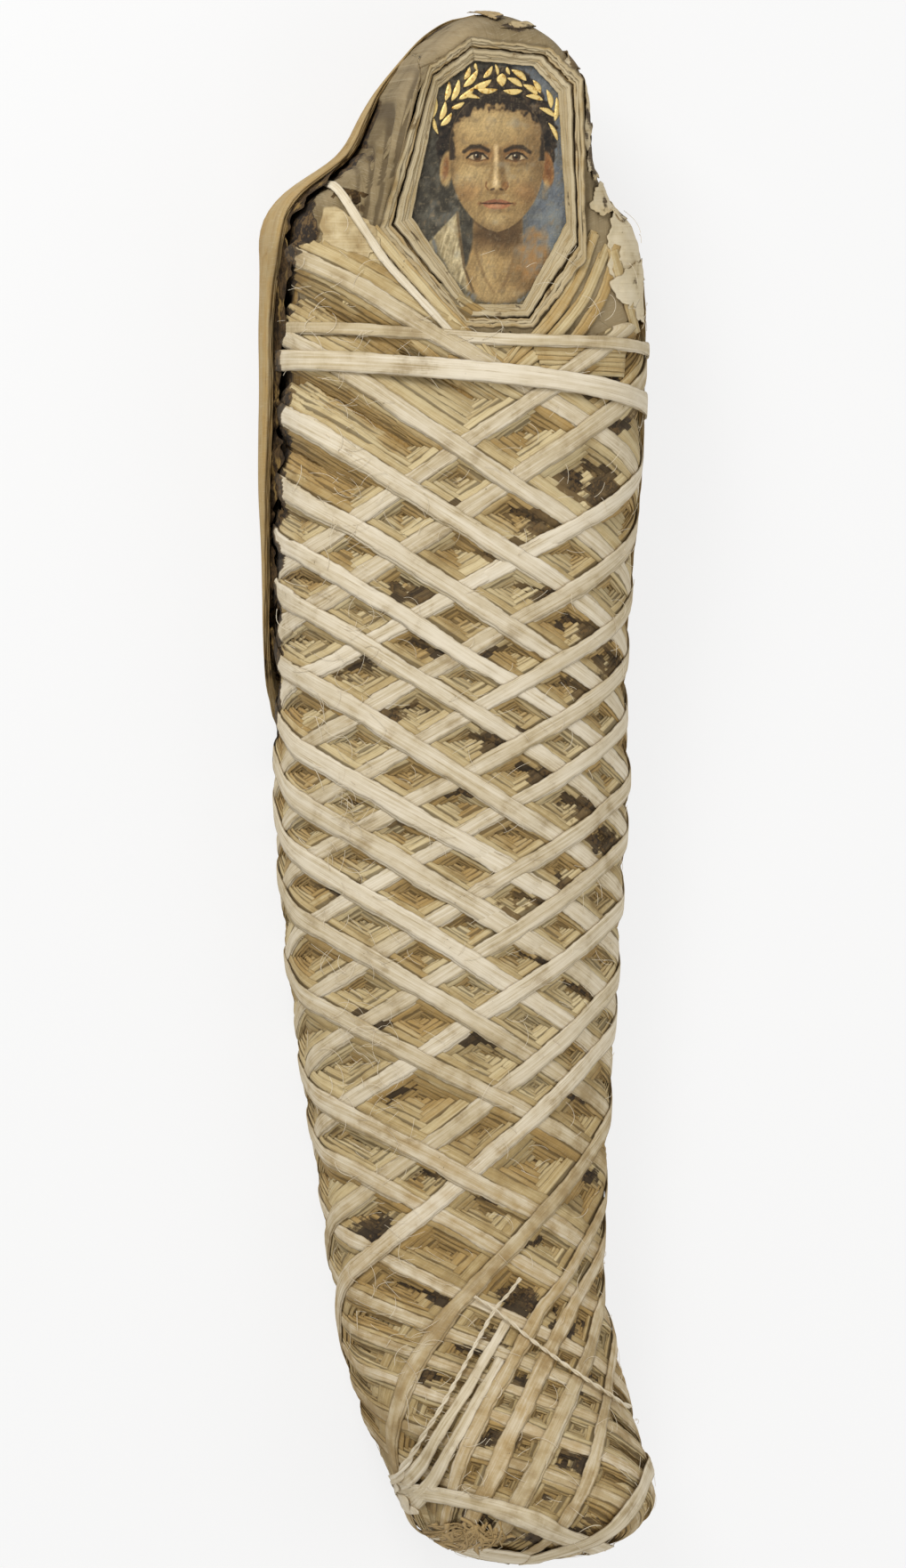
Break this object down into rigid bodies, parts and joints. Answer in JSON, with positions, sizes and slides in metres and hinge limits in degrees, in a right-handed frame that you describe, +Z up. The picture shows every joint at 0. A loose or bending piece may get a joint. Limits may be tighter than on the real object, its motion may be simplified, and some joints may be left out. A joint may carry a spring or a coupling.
{
  "type": "mummy with portrait panel",
  "caption": "Bandage-wrapped human mummy lying on its back, with crossing strips that leave diamond coffers and a painted portrait panel over the face.",
  "frame": {"origin": "on the ground, under the middle of the outline as it lies on its back", "axes": "+Z up, +Y towards the head, +X to the right when seen from above with the head at the top"},
  "size_m": [0.427, 1.692, 0.2852],
  "materials": {
    "linen_bandage": "undyed linen bandage, aged, matt",
    "linen_pale": "undyed linen bandage, paler, matt",
    "linen_ochre": "folded linen tinted ochre, matt",
    "linen_shroud": "linen shroud with resin stains, matt",
    "linen_hood": "smooth linen cloth, aged, matt",
    "linen_packing": "packed linen, browned by resin",
    "bundle": "wrapped remains, resin-soaked linen",
    "panel_wood": "thin hardwood board",
    "paint_ground": "painted ground, wax paint",
    "paint_figure": "painted figure, wax paint",
    "gilding": "gold leaf"
  },
  "bodies": {
    "root": {"ankle_tie_over": "linen_pale", "ankle_tie_under": "linen_pale", "back_packing": "linen_packing", "back_shroud": "linen_shroud", "bandage_left_01": "linen_bandage", "bandage_left_02": "linen_bandage", "bandage_left_03": "linen_bandage", "bandage_left_04": "linen_bandage", "bandage_left_05": "linen_bandage", "bandage_left_06": "linen_bandage", "bandage_left_07": "linen_bandage", "bandage_left_08": "linen_bandage", "bandage_left_09": "linen_bandage", "bandage_left_10": "linen_bandage", "bandage_left_11": "linen_bandage", "bandage_left_12": "linen_bandage", "bandage_left_13": "linen_bandage", "bandage_left_14": "linen_bandage", "bandage_left_15": "linen_bandage", "bandage_left_16": "linen_bandage", "bandage_left_17": "linen_bandage", "bandage_left_18": "linen_bandage", "bandage_right_01": "linen_pale", "bandage_right_02": "linen_pale", "bandage_right_03": "linen_pale", "bandage_right_04": "linen_pale", "bandage_right_05": "linen_pale", "bandage_right_06": "linen_pale", "bandage_right_07": "linen_pale", "bandage_right_08": "linen_pale", "bandage_right_09": "linen_pale", "bandage_right_10": "linen_pale", "bandage_right_11": "linen_pale", "bandage_right_12": "linen_pale", "bandage_right_13": "linen_pale", "bandage_right_14": "linen_pale", "bandage_right_15": "linen_pale", "body_bundle": "bundle", "chest_band_lower": "linen_pale", "chest_band_upper": "linen_pale", "coffer_wrap": "linen_ochre", "foot_cap": "linen_hood", "foot_packing": "linen_packing", "frame_bottom": "linen_pale", "frame_left": "linen_pale", "frame_lower_left": "linen_pale", "frame_lower_right": "linen_pale", "frame_right": "linen_pale", "frame_top": "linen_pale", "frame_upper_left": "linen_pale", "frame_upper_right": "linen_pale", "gilded_wreath": "gilding", "head_packing": "linen_packing", "hood": "linen_hood", "painted_bust": "paint_figure", "painted_ground": "paint_ground", "portrait_panel": "panel_wood", "shoulder_tie": "linen_pale", "trunk_packing": "linen_packing"}
  },
  "joints": []
}
